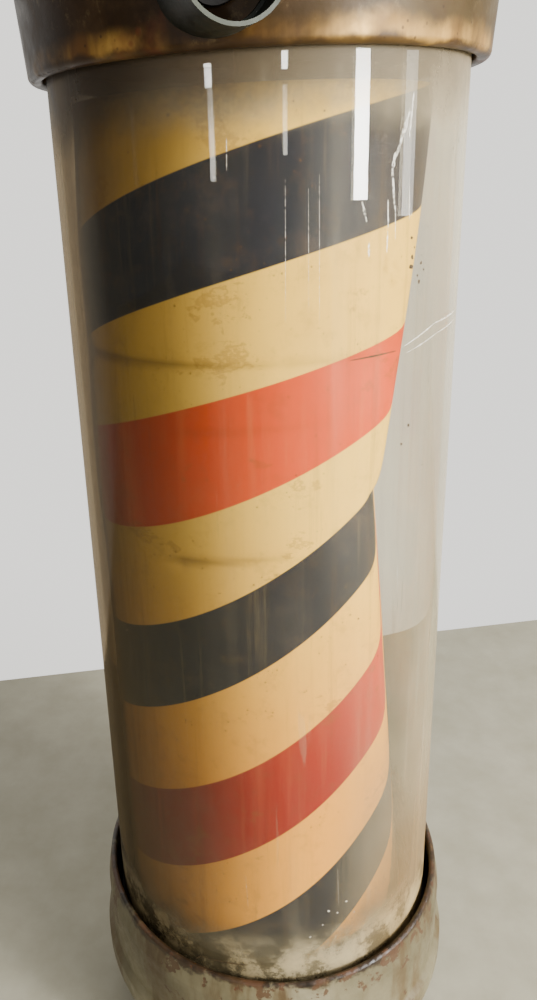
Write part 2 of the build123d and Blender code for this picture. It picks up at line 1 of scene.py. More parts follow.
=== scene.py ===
import json
import math
import random
import bmesh
import bpy
from mathutils import Matrix, Vector, noise


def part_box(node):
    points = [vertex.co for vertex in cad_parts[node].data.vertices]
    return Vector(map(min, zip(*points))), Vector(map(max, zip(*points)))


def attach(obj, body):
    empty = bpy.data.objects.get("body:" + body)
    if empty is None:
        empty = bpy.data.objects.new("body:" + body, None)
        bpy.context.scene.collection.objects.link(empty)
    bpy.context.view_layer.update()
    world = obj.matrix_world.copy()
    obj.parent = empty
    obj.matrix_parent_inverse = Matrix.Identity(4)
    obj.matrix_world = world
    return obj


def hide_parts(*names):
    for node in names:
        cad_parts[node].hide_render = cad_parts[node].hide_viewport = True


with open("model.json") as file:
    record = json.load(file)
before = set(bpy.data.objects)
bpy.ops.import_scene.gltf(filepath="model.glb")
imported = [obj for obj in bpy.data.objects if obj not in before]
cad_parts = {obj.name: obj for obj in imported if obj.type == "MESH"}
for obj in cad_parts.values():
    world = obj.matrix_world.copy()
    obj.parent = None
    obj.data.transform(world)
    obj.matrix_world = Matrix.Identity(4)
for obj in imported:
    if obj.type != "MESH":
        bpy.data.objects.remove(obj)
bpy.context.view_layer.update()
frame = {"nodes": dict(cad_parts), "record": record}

# A barber pole light: a striped film drum in a clear acrylic tube, between a stained metal
# cap and an enamelled base. Metres, +Z up, the column's axis at the origin. The front is -Y.

TUBE_LOW, TUBE_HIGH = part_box("clear_tube")
TUBE_R = TUBE_HIGH.x
CAP_RIM_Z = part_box("top_cap")[0].z
BASE_RIM_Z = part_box("base_bowl")[1].z
SHEET_LOW, SHEET_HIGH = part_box("stripe_sheet")
SHEET_R = SHEET_HIGH.x
TUBE_INNER_R = 0.9650 * TUBE_R
ARM_SLOPE = 0.358  # tangent of the arm socket's turn towards +X
MOUTH_BEHIND_FOREMOST = 0.0065 + 0.0021  # from the socket's foremost point back to its mouth
MARK_LIFT = 0.00012  # dried marks above the tube's surface
FILM_T = 0.0005


# ---- camera ----
CAMERA_DOWN, CAMERA_TURN, CAMERA_ROLL = math.radians(18.84), math.radians(-4.85), math.radians(-2.74)
CAMERA_PLACE = (0, -0.4235, CAP_RIM_Z - 0.0413)
CAMERA_LENS = 28.556
CAMERA_SHIFT = (0.0702, -0.0587)


def set_camera():
    """A view from the front, a little below the cap's rim and looking down."""
    pitch, yaw, roll = CAMERA_DOWN, CAMERA_TURN, CAMERA_ROLL
    forward = Vector((math.sin(yaw) * math.cos(pitch), math.cos(yaw) * math.cos(pitch), -math.sin(pitch)))
    right = forward.cross(Vector((0, 0, 1))).normalized()
    up = right.cross(forward)
    rolled_right = math.cos(roll) * right + math.sin(roll) * up
    rolled_up = -math.sin(roll) * right + math.cos(roll) * up
    turn = Matrix((rolled_right, rolled_up, -forward)).transposed()
    data = bpy.data.cameras.new("front_camera")
    data.sensor_width = 36.0
    data.lens = CAMERA_LENS
    data.shift_x, data.shift_y = CAMERA_SHIFT
    data.clip_start = 0.01
    camera = bpy.data.objects.new("front_camera", data)
    camera.matrix_world = Matrix.Translation(CAMERA_PLACE) @ turn.to_4x4()
    bpy.context.scene.collection.objects.link(camera)
    bpy.context.scene.camera = camera


# ---- node shorthand ----
class Finish:
    """One procedural material, built node by node around a Principled shader."""

    def __init__(self, name):
        self.material = bpy.data.materials.new(name)
        self.material.use_nodes = True
        self.tree = self.material.node_tree
        self.shader = self.tree.nodes["Principled BSDF"]
        self.output = self.tree.nodes["Material Output"]
        self.place = self.tree.nodes.new("ShaderNodeTexCoord").outputs["Object"]

    def add(self, kind, **settings):
        made = self.tree.nodes.new(kind)
        for key, value in settings.items():
            setattr(made, key, value)
        return made

    def feed(self, socket, value):
        if isinstance(value, bpy.types.NodeSocket):
            self.tree.links.new(value, socket)
        else:
            socket.default_value = value

    def set(self, **values):
        """Plain values or nodes into the shader's sockets, named with underscores."""
        for key, value in values.items():
            self.feed(self.shader.inputs[key.replace("_", " ")], value)

    def stretched(self, scale, offset=(0, 0, 0)):
        mapping = self.add("ShaderNodeMapping")
        self.feed(mapping.inputs["Vector"], self.place)
        mapping.inputs["Scale"].default_value = scale
        mapping.inputs["Location"].default_value = offset
        return mapping.outputs["Vector"]

    def noise(self, scale, detail=5.0, rough=0.55, vector=None, distortion=0.0):
        made = self.add("ShaderNodeTexNoise")
        self.feed(made.inputs["Vector"], vector or self.place)
        made.inputs["Scale"].default_value = scale
        made.inputs["Detail"].default_value = detail
        made.inputs["Roughness"].default_value = rough
        made.inputs["Distortion"].default_value = distortion
        return made.outputs["Fac"]

    def cells(self, scale, vector=None, feature="F1"):
        made = self.add("ShaderNodeTexVoronoi", feature=feature)
        self.feed(made.inputs["Vector"], vector or self.place)
        made.inputs["Scale"].default_value = scale
        return made.outputs["Distance"]

    def band(self, source, low, high):
        """0 below low, 1 above high, smooth between; low may lie above high."""
        made = self.add("ShaderNodeMapRange", interpolation_type="SMOOTHSTEP")
        self.feed(made.inputs["Value"], source)
        flip = low > high
        made.inputs["From Min"].default_value = min(low, high)
        made.inputs["From Max"].default_value = max(low, high)
        made.inputs["To Min"].default_value = 1.0 if flip else 0.0
        made.inputs["To Max"].default_value = 0.0 if flip else 1.0
        return made.outputs["Result"]

    def maths(self, operation, a, b, clamp=False):
        made = self.add("ShaderNodeMath", operation=operation, use_clamp=clamp)
        self.feed(made.inputs[0], a)
        self.feed(made.inputs[1], b)
        return made.outputs[0]

    def times(self, a, b):
        return self.maths("MULTIPLY", a, b)

    def plus(self, a, b, clamp=False):
        return self.maths("ADD", a, b, clamp)

    def minus(self, a, b):
        return self.maths("SUBTRACT", a, b)

    def larger(self, a, b):
        return self.maths("MAXIMUM", a, b)

    def mix(self, factor, a, b, blend="MIX"):
        made = self.add("ShaderNodeMix", data_type="RGBA", blend_type=blend)
        self.feed(made.inputs["Factor"], factor)
        self.feed(made.inputs[6], a)
        self.feed(made.inputs[7], b)
        return made.outputs[2]

    def ramp(self, source, *stops):
        made = self.add("ShaderNodeValToRGB")
        self.feed(made.inputs["Fac"], source)
        ramp = made.color_ramp
        while len(ramp.elements) < len(stops):
            ramp.elements.new(0.5)
        for element, (at, colour) in zip(ramp.elements, stops):
            element.position = at
            element.color = colour
        return made.outputs["Color"]

    def axis(self, name):
        made = self.add("ShaderNodeSeparateXYZ")
        self.feed(made.inputs[0], self.place)
        return made.outputs[name]

    def attribute(self, name):
        return self.add("ShaderNodeAttribute", attribute_name=name).outputs["Fac"]

    def bump(self, height, strength, distance):
        made = self.add("ShaderNodeBump")
        self.feed(made.inputs["Height"], height)
        made.inputs["Strength"].default_value = strength
        made.inputs["Distance"].default_value = distance
        self.feed(self.shader.inputs["Normal"], made.outputs["Normal"])

    def rough_between(self, source, smooth, rough):
        """Roughness that follows a pattern from a smooth value to a rough one."""
        self.set(Roughness=self.ramp(source, (0.3, grey(smooth)), (0.7, grey(rough))))


def tone(red, green, blue):
    """A colour from 0-255 screen values to linear light."""
    def linear(value):
        value /= 255.0
        return value / 12.92 if value <= 0.04045 else ((value + 0.055) / 1.055) ** 2.4
    return (linear(red), linear(green), linear(blue), 1.0)


def grey(value):
    return (value, value, value, 1)


# ---- finishes ----
def stained_cap_metal():
    """Old plated metal gone brown, with drips and rust near the lower edge; painted light makes it tan on
    the right (+X) side and painted shade darkens the left, with a painted highlight just above the lip and
    painted shade on the lip.
    """
    f = Finish("stained_cap_metal")
    big = f.noise(9.0, 6.0, 0.6, distortion=0.4)
    fine = f.noise(60.0, 8.0, 0.65)
    drips = f.noise(26.0, 5.0, 0.6, vector=f.stretched((1.0, 1.0, 0.14)))
    side = f.plus(f.axis("X"), f.times(f.minus(big, 0.5), 0.12))
    painted_lit_tan = f.ramp(big, (0.3, tone(44, 32, 11)), (0.5, tone(65, 50, 22)), (0.7, tone(84, 69, 38)))
    brown = f.ramp(big, (0.3, tone(28, 15, 2)), (0.55, tone(44, 26, 5)), (0.75, tone(64, 42, 14)))
    # Painted light and shade: tan on the right (+X) side, dark brown on the left.
    base = f.mix(f.band(side, -0.05, 0.085), brown, painted_lit_tan)
    mottled = f.mix(f.times(f.band(fine, 0.46, 0.64), 0.6), base, tone(62, 42, 16))
    scuffs = f.band(f.noise(120.0, 7.0, 0.75, vector=f.stretched((1, 1, 0.7), (2, 0, 1))), 0.56, 0.64)
    mottled = f.mix(f.times(scuffs, 0.4), mottled, tone(100, 84, 53))
    streaked = f.mix(f.times(f.band(drips, 0.5, 0.7), 0.55), mottled, tone(57, 39, 13))
    height = f.axis("Z")
    low_edge = f.plus(height, f.times(f.noise(45.0, 5.0), 0.012))
    # Painted highlight: a bright gold band just above the lip, coloured by the drip pattern and broken up
    # by noise.
    painted_lip_highlight = f.times(f.band(low_edge, CAP_RIM_Z + 0.018, CAP_RIM_Z + 0.010), f.band(big, 0.42, 0.62))
    edged = f.mix(painted_lip_highlight, streaked, f.ramp(drips, (0.4, tone(98, 64, 22)), (0.62, tone(204, 160, 80))))
    # Painted shade: the cap's lowest band, on the lip, darkened.
    painted_lip_shade = f.band(low_edge, CAP_RIM_Z + 0.0095, CAP_RIM_Z + 0.0065)
    lipped = f.mix(f.times(painted_lip_shade, 0.85), edged, tone(44, 28, 12))
    spots = f.times(f.band(f.cells(75.0), 0.2, 0.06), f.band(drips, 0.47, 0.56))
    patch = f.band(f.noise(16.0, 5.0, 0.6, vector=f.stretched((1, 1, 1), (3.1, 0.4, 0.0))), 0.6, 0.7)
    rust = f.larger(spots, f.times(patch, 0.6))
    pits = f.times(f.band(f.cells(240.0), 0.2, 0.08), f.band(fine, 0.48, 0.56))
    lipped = f.mix(f.times(pits, 0.6), lipped, tone(40, 24, 10))
    f.set(Base_Color=f.mix(f.times(rust, 0.7), lipped, tone(96, 42, 22)))
    f.set(Metallic=f.times(f.band(fine, 0.62, 0.4), 0.25))
    f.shader.inputs["Specular IOR Level"].default_value = 0.3
    f.rough_between(fine, 0.36, 0.62)
    f.bump(f.plus(fine, f.times(rust, 0.6)), 0.35, 0.0006)
    return f.material


def arm_enamel():
    """Near-black green enamel on the arm's socket, paler grey at the mouth."""
    f = Finish("arm_enamel")
    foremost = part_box("arm_socket")[0].y
    big = f.noise(40.0, 6.0, 0.6)
    fine = f.noise(160.0, 6.0, 0.6)
    base = f.ramp(big, (0.35, tone(12, 15, 12)), (0.6, tone(26, 31, 25)), (0.8, tone(58, 60, 48)))
    forward = f.plus(f.axis("Y"), f.times(f.axis("X"), -ARM_SLOPE))
    near = foremost + MOUTH_BEHIND_FOREMOST
    mouth = f.band(f.plus(forward, f.times(big, 0.001)), near + 0.0009, near + 0.0003)
    f.set(Base_Color=f.mix(f.times(mouth, 0.8), base, tone(62, 66, 52)))
    f.rough_between(fine, 0.35, 0.6)
    f.bump(fine, 0.3, 0.0003)
    return f.material


def chipped_enamel():
    """Off-white enamel gone grey-green, rusted dark along the rim and chipped on the shoulder."""
    f = Finish("chipped_enamel")
    height = f.axis("Z")
    big = f.noise(13.0, 6.0, 0.6)
    fine = f.noise(110.0, 8.0, 0.7)
    drips = f.noise(42.0, 5.0, 0.6, vector=f.stretched((1.0, 1.0, 0.22)))
    base = f.ramp(big, (0.3, tone(74, 66, 42)), (0.55, tone(114, 106, 80)), (0.75, tone(150, 143, 118)))
    grimed = f.mix(f.times(f.band(drips, 0.46, 0.62), 0.8), base, tone(84, 66, 38))
    ragged = f.plus(height, f.times(f.minus(f.noise(70.0, 7.0, 0.7), 0.5), 0.02))
    rim = f.band(ragged, BASE_RIM_Z - 0.0045, BASE_RIM_Z - 0.0012)
    rust = f.ramp(fine, (0.35, tone(26, 18, 9)), (0.6, tone(54, 38, 20)), (0.75, tone(112, 88, 56)))
    rusted = f.mix(rim, grimed, rust)
    runs = f.times(f.band(drips, 0.5, 0.62), f.band(height, BASE_RIM_Z - 0.04, BASE_RIM_Z - 0.006))
    rusted = f.mix(f.times(runs, 0.55), rusted, tone(66, 46, 24))
    shoulder = f.times(f.band(height, BASE_RIM_Z - 0.034, BASE_RIM_Z - 0.004), 0.07)
    flecks = f.noise(75.0, 5.0, 0.65, vector=f.stretched((1, 1, 1), (0, 2, 7)))
    chips = f.band(f.plus(flecks, shoulder), 0.615, 0.65)
    chipped = f.mix(f.times(chips, 0.85), rusted, tone(74, 48, 28))
    f.set(Base_Color=chipped, Metallic=0.0)
    f.rough_between(fine, 0.34, 0.62)
    f.bump(f.minus(fine, f.times(chips, 1.2)), 0.3, 0.0005)
    return f.material


def hazed_acrylic():
    """Clear acrylic gone yellowish under a film of dust: streaked, scratched, grimed at both ends, with
    painted shade making the dust, the band under the cap and the glass's tint darker on the left (-X) side.
    """
    f = Finish("hazed_acrylic")
    height, side = f.axis("Z"), f.axis("X")
    clouds = f.noise(11.0, 6.0, 0.6)
    streaks = f.noise(75.0, 6.0, 0.7, vector=f.stretched((1.0, 1.0, 0.03)))
    specks = f.band(f.cells(210.0), 0.08, 0.02)
    scored = f.noise(90.0, 2.0, 0.5, vector=f.stretched((1.2, 1.2, 0.1), (5.0, 1.0, 0.0)))
    scratches = f.band(scored, 0.71, 0.74)
    facing = f.add("ShaderNodeLayerWeight")
    facing.inputs["Blend"].default_value = 0.5
    edge = f.band(facing.outputs["Facing"], 0.3, 0.95)
    cloudy = f.times(f.minus(clouds, 0.5), 0.06)
    foot = f.band(f.plus(height, f.times(cloudy, 0.6)), BASE_RIM_Z + 0.034, BASE_RIM_Z + 0.002)
    crown = f.band(f.plus(height, cloudy), CAP_RIM_Z - 0.034, CAP_RIM_Z - 0.006)
    grime = f.band(f.noise(28.0, 7.0, 0.7), 0.42, 0.66)
    haze = f.plus(f.times(f.band(clouds, 0.4, 0.75), 0.02), 0.002)
    haze = f.plus(haze, f.times(f.band(streaks, 0.48, 0.72), f.plus(f.times(edge, 0.35), 0.05)))
    low_right = f.times(f.band(height, BASE_RIM_Z + 0.19, BASE_RIM_Z + 0.03), f.band(side, 0.03, 0.075))
    haze = f.plus(haze, f.plus(f.times(edge, 0.3), f.times(low_right, 0.28)))
    caked = f.times(foot, f.band(f.noise(48.0, 8.0, 0.75), 0.44, 0.56))
    haze = f.plus(haze, f.plus(f.times(foot, 0.2), f.times(caked, 0.5)))
    haze = f.plus(haze, f.times(crown, f.plus(f.times(grime, 0.3), 0.45)))
    haze = f.plus(haze, f.times(scratches, 0.12))
    haze = f.plus(haze, f.times(specks, 0.3), clamp=True)
    dust_and_shade = f.ramp(clouds, (0.3, tone(156, 140, 106)), (0.7, tone(196, 184, 152)))
    # Painted shade: the dust film turns dark brown on the left (-X) side.
    dust_and_shade = f.mix(f.band(side, 0.02, -0.08), dust_and_shade, tone(66, 52, 33))
    dust_and_shade = f.mix(f.times(low_right, 0.9), dust_and_shade, tone(128, 98, 56))
    # Painted shade: the band under the cap runs from dark brown on the left to pale on the right, and its
    # grime darkens the left half only.
    crown_stain_and_shade = f.mix(f.band(side, -0.03, 0.06), tone(66, 48, 24), tone(118, 104, 78))
    crown_stain_and_shade = f.mix(f.times(grime, f.band(side, 0.045, 0.0)), crown_stain_and_shade, tone(50, 38, 24))
    dust_and_shade = f.mix(f.times(crown, 0.9), dust_and_shade, crown_stain_and_shade)
    foot_dust = f.ramp(f.noise(48.0, 8.0, 0.75), (0.42, tone(92, 82, 54)), (0.62, tone(176, 156, 112)))
    dust_and_shade = f.mix(f.times(foot, 0.6), dust_and_shade, foot_dust)
    f.set(Base_Color=dust_and_shade, Roughness=0.6)
    glass = f.add("ShaderNodeBsdfGlass")
    # Painted shade: the glass is tinted dark brown at grazing angles on the left (-X) side only.
    murk_and_shade = f.times(f.band(facing.outputs["Facing"], 0.2, 0.75), f.band(side, 0.0, -0.07))
    f.feed(glass.inputs["Color"], f.mix(murk_and_shade, (0.955, 0.935, 0.87, 1.0), (0.34, 0.27, 0.18, 1.0)))
    glass.inputs["Roughness"].default_value = 0.0
    glass.inputs["IOR"].default_value = 1.38
    clear = f.add("ShaderNodeBsdfTransparent")
    clear.inputs["Color"].default_value = (0.94, 0.92, 0.86, 1.0)
    path = f.add("ShaderNodeLightPath")
    lamps = f.larger(path.outputs["Is Shadow Ray"], path.outputs["Is Diffuse Ray"])
    window = f.add("ShaderNodeMixShader")
    f.feed(window.inputs[0], lamps)
    f.feed(window.inputs[1], glass.outputs[0])
    f.feed(window.inputs[2], clear.outputs[0])
    dusty = f.add("ShaderNodeMixShader")
    f.feed(dusty.inputs[0], haze)
    f.feed(dusty.inputs[1], window.outputs[0])
    f.feed(dusty.inputs[2], f.shader.outputs[0])
    f.feed(f.output.inputs["Surface"], dusty.outputs[0])
    return f.material


def dried_residue():
    """Whitish dried smears and scratches on the outside of the tube."""
    f = Finish("dried_residue")
    grain = f.noise(400.0, 4.0, 0.6)
    f.set(Base_Color=f.ramp(grain, (0.35, tone(214, 206, 184)), (0.65, tone(244, 240, 226))))
    f.set(Roughness=0.5, Alpha=f.times(f.band(f.noise(900.0, 3.0, 0.6), 0.3, 0.6), 0.75))
    f.bump(grain, 0.2, 0.0001)
    return f.material


def dried_dirt():
    """Dark dried specks on the outside of the tube."""
    f = Finish("dried_dirt")
    grain = f.noise(500.0, 4.0, 0.6)
    f.set(Base_Color=f.ramp(grain, (0.35, tone(48, 36, 20)), (0.65, tone(92, 74, 46))), Roughness=0.8)
    f.bump(grain, 0.3, 0.0002)
    return f.material


def striped_film():
    """Aged cream film printed with dark blue and red stripes, by the phase stored on the sheet."""
    f = Finish("striped_film")
    turn = f.maths("FRACT", f.attribute("stripe_phase"), 0.0)
    height, side = f.axis("Z"), f.axis("X")
    clouds = f.noise(7.0, 5.0, 0.55)
    blotches = f.noise(30.0, 7.0, 0.65)
    grain = f.noise(260.0, 4.0, 0.6)
    vertical = f.noise(55.0, 5.0, 0.6, vector=f.stretched((1.0, 1.0, 0.05)))
    wipes = f.noise(150.0, 6.0, 0.7, vector=f.stretched((1.0, 1.0, 0.035), (1.0, 0.0, 0.0)))
    mottle = f.noise(95.0, 8.0, 0.72)
    lower = f.band(height, SHEET_HIGH.z - 0.16, SHEET_LOW.z + 0.12)
    shaded = f.band(f.plus(side, f.times(clouds, 0.04)), 0.035, -0.065)
    top = f.band(height, SHEET_HIGH.z - 0.11, SHEET_HIGH.z - 0.01)
    cream = f.mix(lower, tone(255, 212, 98), tone(248, 174, 62))
    cream = f.mix(f.times(shaded, 0.73), cream, f.mix(lower, tone(104, 68, 20), tone(134, 82, 24)))
    cream = f.mix(f.times(f.times(top, shaded), 0.6), cream, tone(96, 66, 28))
    cream = f.mix(f.times(f.band(clouds, 0.42, 0.72), 0.3), cream, tone(206, 156, 74))
    red = f.mix(lower, tone(216, 72, 22), tone(148, 28, 20))
    # Painted light: the red turns a lighter orange on the right (+X) side; it turns with the drum.
    red = f.mix(f.times(f.band(side, 0.03, 0.075), 0.5), red, tone(226, 88, 48))
    red = f.mix(f.times(shaded, 0.6), red, tone(96, 30, 4))
    red = f.mix(f.times(f.band(vertical, 0.5, 0.75), 0.35), red, tone(228, 116, 70))
    dark = f.mix(f.band(blotches, 0.4, 0.8), tone(15, 20, 36), tone(30, 35, 52))
    # Painted light: the dark stripe turns a pale grey on the right (+X) side; it turns with the drum.
    dark = f.mix(f.times(f.band(side, 0.035, 0.08), 0.7), dark, tone(84, 78, 76))
    edge = 0.004
    in_dark = f.times(f.band(turn, 0.0, edge), f.band(turn, 0.25 + edge, 0.25))
    in_red = f.times(f.band(turn, 0.5, 0.5 + edge), f.band(turn, 0.75 + edge, 0.75))
    colour = f.mix(in_dark, cream, dark)
    colour = f.mix(in_red, colour, red)
    colour = f.mix(f.times(f.band(blotches, 0.55, 0.8), 0.15), colour, tone(140, 108, 62))
    colour = f.mix(f.times(f.band(vertical, 0.58, 0.75), 0.16), colour, tone(120, 88, 46))
    colour = f.mix(f.times(f.band(mottle, 0.5, 0.72), 0.2), colour, tone(100, 76, 44))
    colour = f.mix(f.times(f.band(wipes, 0.54, 0.74), 0.07), colour, tone(236, 204, 140))
    colour = f.mix(f.times(f.band(wipes, 0.46, 0.3), 0.2), colour, tone(90, 62, 30))
    freckles = f.times(f.band(f.cells(230.0), 0.16, 0.06), f.band(mottle, 0.5, 0.56))
    colour = f.mix(f.times(freckles, 0.55), colour, tone(96, 64, 30))
    stains = f.noise(22.0, 6.0, 0.7, vector=f.stretched((1, 1, 1.6), (4.0, 2.0, 1.0)))
    rings = f.times(f.band(stains, 0.6, 0.63), f.band(stains, 0.68, 0.64))
    colour = f.mix(f.times(rings, f.minus(0.3, f.times(in_dark, 0.25))), colour, tone(120, 82, 36))
    spots = f.times(f.band(f.cells(80.0), 0.085, 0.03), f.band(clouds, 0.46, 0.6))
    colour = f.mix(f.times(spots, 0.8), colour, tone(84, 54, 22))
    # Painted shade: a dark brown band along the film's left edge.
    colour = f.mix(f.times(f.attribute("left_edge_shade"), 0.85), colour, tone(84, 58, 26))
    caked = f.mix(f.band(blotches, 0.4, 0.7), tone(72, 62, 42), tone(116, 102, 70))
    colour = f.mix(f.times(f.attribute("foot_grime"), 0.9), colour, caked)
    colour = f.mix(f.times(f.attribute("crease_shade"), 0.8), colour, tone(84, 56, 20))
    f.set(Base_Color=colour, Roughness=0.5)
    f.shader.inputs["Specular IOR Level"].default_value = 0.25
    f.bump(f.plus(f.times(grain, 0.15), vertical), 0.1, 0.0006)
    return f.material


def simple_finish(name, colours, metallic, rough):
    """A worn plain finish: two close tones, a film of grime and a fine surface."""
    f = Finish(name)
    big = f.noise(24.0, 5.0, 0.6)
    fine = f.noise(300.0, 5.0, 0.6)
    base = f.ramp(big, (0.35, tone(*colours[0])), (0.65, tone(*colours[1])))
    dirt = f.times(f.band(f.noise(60.0, 6.0, 0.65), 0.5, 0.75), 0.3)
    f.set(Base_Color=f.mix(dirt, base, tone(88, 72, 50)), Metallic=metallic)
    f.rough_between(fine, rough[0], rough[1])
    f.bump(fine, 0.25, 0.0003)
    return f.material


def lamp_glow():
    """A fluorescent tube: phosphor white glass, greyer near its ends."""
    f = Finish("lamp_glow")
    ends = f.band(f.axis("Z"), SHEET_LOW.z + 0.06, SHEET_LOW.z + 0.03)
    f.set(Base_Color=f.mix(ends, tone(232, 232, 226), tone(150, 146, 138)), Roughness=0.18)
    f.bump(f.noise(200.0), 0.05, 0.0002)
    return f.material


FINISHES = {
    "enamel": chipped_enamel,
    "aged_cap_metal": stained_cap_metal,
    "arm_enamel": arm_enamel,
    "clear_acrylic": hazed_acrylic,
    "striped_film": striped_film,
    "lamp_glass": lamp_glow,
}

# Slot: two close tones, metallic, and the smoothest and roughest gloss.
SIMPLE_FINISHES = {
    "black_rubber": (((22, 21, 20), (40, 38, 36)), 0.0, (0.6, 0.85)),
    "plated_steel": (((138, 134, 124), (172, 168, 158)), 0.9, (0.3, 0.5)),
    "frame_steel": (((96, 92, 84), (124, 119, 108)), 0.1, (0.45, 0.7)),
    "white_plastic": (((196, 188, 166), (214, 208, 190)), 0.0, (0.35, 0.5)),
    "gear_plastic": (((206, 200, 180), (222, 217, 200)), 0.0, (0.3, 0.45)),
    "brass": (((150, 116, 56), (186, 150, 84)), 0.9, (0.28, 0.48)),
    "motor_steel": (((128, 122, 106), (156, 150, 132)), 0.8, (0.35, 0.5)),
    "lamp_aluminium": (((160, 160, 156), (190, 190, 186)), 0.9, (0.25, 0.4)),
    "ballast_enamel": (((24, 24, 25), (38, 38, 40)), 0.0, (0.25, 0.4)),
    "wire_insulation": (((34, 34, 40), (52, 52, 60)), 0.0, (0.4, 0.5)),
}


def dress_frame():
    """Give every node of the frame its slot's finish."""
    made = {slot: make() for slot, make in FINISHES.items()}
    for slot, values in SIMPLE_FINISHES.items():
        made[slot] = simple_finish(slot, *values)
    for part in frame["record"]["subparts"]:
        node = frame["nodes"][part["node"]]
        node.data.materials.clear()
        node.data.materials.append(made[part["material_slot"]])
    return made


def smooth_steps(low, high, value):
    """0 at low and 1 at high, with soft ends."""
    t = min(1.0, max(0.0, (value - low) / (high - low)))
    return t * t * (3 - 2 * t)


# ---- striped sheet ----
STRIPE_PERIOD = 2.004 * TUBE_R  # one dark and one red stripe, measured down the sheet
FIRST_STRIPE = 0.31 * TUBE_R  # top of the first dark stripe at the front, below the cap's rim
LEAD = 2 * STRIPE_PERIOD
FOLD_DOWN = 1.91 * TUBE_R  # the buckle's sharpest point, below the cap's rim
FOLD_DEPTH = 0.259 * TUBE_R
FOLD_AT = math.radians(82.5)  # towards +X
SHEET_END = CAP_RIM_Z - SHEET_LOW.z


def drop(z):
    """Distance below the cap's rim."""
    return CAP_RIM_Z - z


def stripe_phase(angle, z):
    """Count of stripe periods down the sheet; angle is 0 at the front, positive towards +X."""
    down = drop(z)
    degrees = math.degrees(angle)
    behind = smooth_steps(75, 180, abs(degrees))
    half_lead = math.copysign(LEAD / 2, degrees) * behind
    front = down
    for _ in range(6):
        lean = 0.00043 + 0.00065 * smooth_steps(1.2 * TUBE_R, 2.6 * TUBE_R, front)
        front = down + lean * degrees * (1 - behind) + half_lead
    squeeze = 0.0085 * math.exp(-(((front - 2.73 * TUBE_R) / (0.6 * TUBE_R)) ** 2)) * (1 - behind)
    bow = 0.0095 * smooth_steps(1.2 * TUBE_R, 2.6 * TUBE_R, down) - 0.003
    bow *= (min(abs(degrees), 70) / 45) ** 2 * (1 - behind)
    return (front - FIRST_STRIPE + squeeze + bow) / STRIPE_PERIOD


def fold_depth(down):
    """How far the right side of the film has fallen in."""
    if down < FOLD_DOWN:
        depth = 0.126 * max(0.0, down - 0.13 * TUBE_R)
        depth += 0.0035 * math.exp((down - FOLD_DOWN) / 0.004)
    else:
        depth = FOLD_DEPTH - 0.081 * (down - FOLD_DOWN)
    return depth * (1 - smooth_steps(SHEET_END - 0.045, SHEET_END - 0.006, down))


def sheet_radius(angle, z):
    """The buckled film's radius: fallen in on the right, pushed out on the left."""
    down = drop(z)
    swell = 0.0058 * math.cos((angle + math.radians(77)) / 2) ** 2
    swell *= 0.55 + 0.45 * smooth_steps(0.0, 0.08, down)
    swell += 0.0016 * math.cos(angle + math.radians(77)) * math.exp(-(((down - 0.19) / 0.05) ** 2))
    free = SHEET_R + swell
    off = angle - FOLD_AT
    if math.cos(off) <= 0.05:
        return free
    chord = (SHEET_R - fold_depth(down)) / math.cos(off)
    if chord > free + 0.04:
        return free
    soft = 0.003
    return -soft * math.log(math.exp(-free / soft) + math.exp(-chord / soft))


DEEPEST_CREASE = 0.0019
# Creases: both ends in degrees, both drops below the cap's rim in tube radii, and depth in metres.
CREASES = [
    (-78, 8, 1.25, 1.225, 0.0019),
    (4, 24, 1.222, 1.235, 0.0006),
    (-33, 8, 2.205, 2.15, 0.0015),
    (-30, 26, 1.55, 1.50, 0.0005),
]


def crease_at(angle, z):
    """How deep the nearest crease is here, and how dark."""
    degrees = math.degrees(angle)
    depth = shade = 0.0
    for start, end, first, last, deep in CREASES:
        along = (degrees - start) / (end - start)
        if not 0.0 <= along <= 1.0:
            continue
        fade = min(1.0, 5 * along) * (1 - along) ** 0.5
        off = drop(z) - (first + (last - first) * along) * TUBE_R
        depth += deep * fade * math.exp(-abs(off) / 0.005)
        width = 0.0014 + 0.0016 * fade * (1 - along)
        shade = max(shade, fade * deep / DEEPEST_CREASE * math.exp(-((off + 0.0014) / width) ** 2))
    return depth, shade


